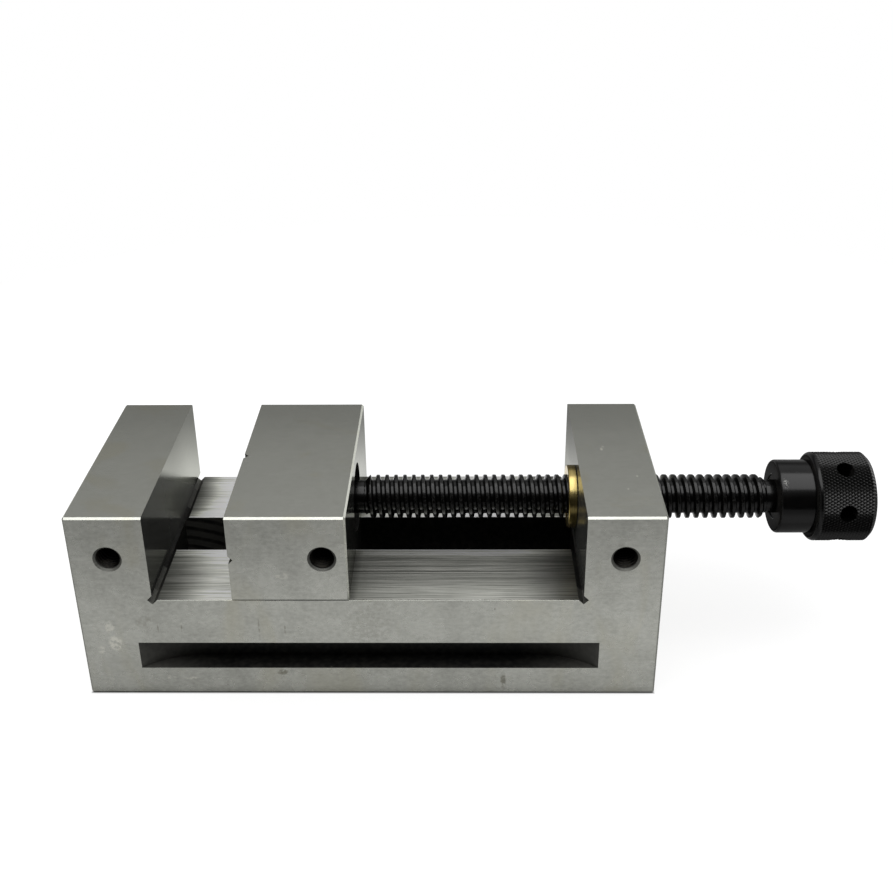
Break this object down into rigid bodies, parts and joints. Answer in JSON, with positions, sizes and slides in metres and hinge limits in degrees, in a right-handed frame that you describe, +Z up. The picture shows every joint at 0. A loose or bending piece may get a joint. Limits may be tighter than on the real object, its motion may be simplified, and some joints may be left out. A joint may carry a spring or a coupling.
{
  "type": "screw vise",
  "caption": "Low precision screw vise: ground steel block with fixed jaw, bed and nut block, sliding jaw with vees, lead screw in a brass nut and knurled knob.",
  "frame": {"origin": "under the middle of the whole vise, on the ground underside", "axes": "+X from the fixed jaw to the knob, along the lead screw; +Y from the front to the rear; +Z up"},
  "size_m": [0.341, 0.1, 0.09],
  "materials": {
    "ground_steel": "surface ground, hardened alloy steel, bare",
    "keeper_steel": "milled and ground steel, bare",
    "black_oxide": "turned steel, black oxide, oiled",
    "fastener_black": "black fastener steel",
    "bearing_steel": "hardened and polished bearing steel",
    "nut_brass": "turned brass"
  },
  "bodies": {
    "base": {"vise_body": "ground_steel", "lead_nut": "nut_brass", "nut_key_screw": "fastener_black"},
    "jaw": {"moving_jaw": "ground_steel", "keeper_plate": "keeper_steel", "keeper_screw_left": "fastener_black", "keeper_screw_right": "fastener_black", "spring_washer_left": "bearing_steel", "spring_washer_right": "bearing_steel", "keeper_dowel_front": "bearing_steel", "keeper_dowel_rear": "bearing_steel", "retaining_bush": "black_oxide", "thrust_pad": "bearing_steel"},
    "spindle": {"lead_screw": "black_oxide", "knob": "black_oxide", "knob_grub_screw_upper": "fastener_black", "knob_grub_screw_lower": "fastener_black", "thrust_collar": "black_oxide", "collar_pin": "bearing_steel", "thrust_button": "bearing_steel"}
  },
  "joints": [
    {"name": "jaw_slide", "type": "slide", "parent": "base", "child": "jaw", "axis": [1, 0, 0], "range_m": [-0.0335, 0.0975]},
    {"name": "spindle_turn", "type": "hinge", "parent": "jaw", "child": "spindle", "pos_m": [-0.0617, 0, 0.069], "axis": [1, 0, 0], "range_deg": [-3015, 8775]}
  ],
  "couplings": [
    {"joint": "spindle_turn", "follows": "jaw_slide", "rad_per_m": 1570.8}
  ]
}
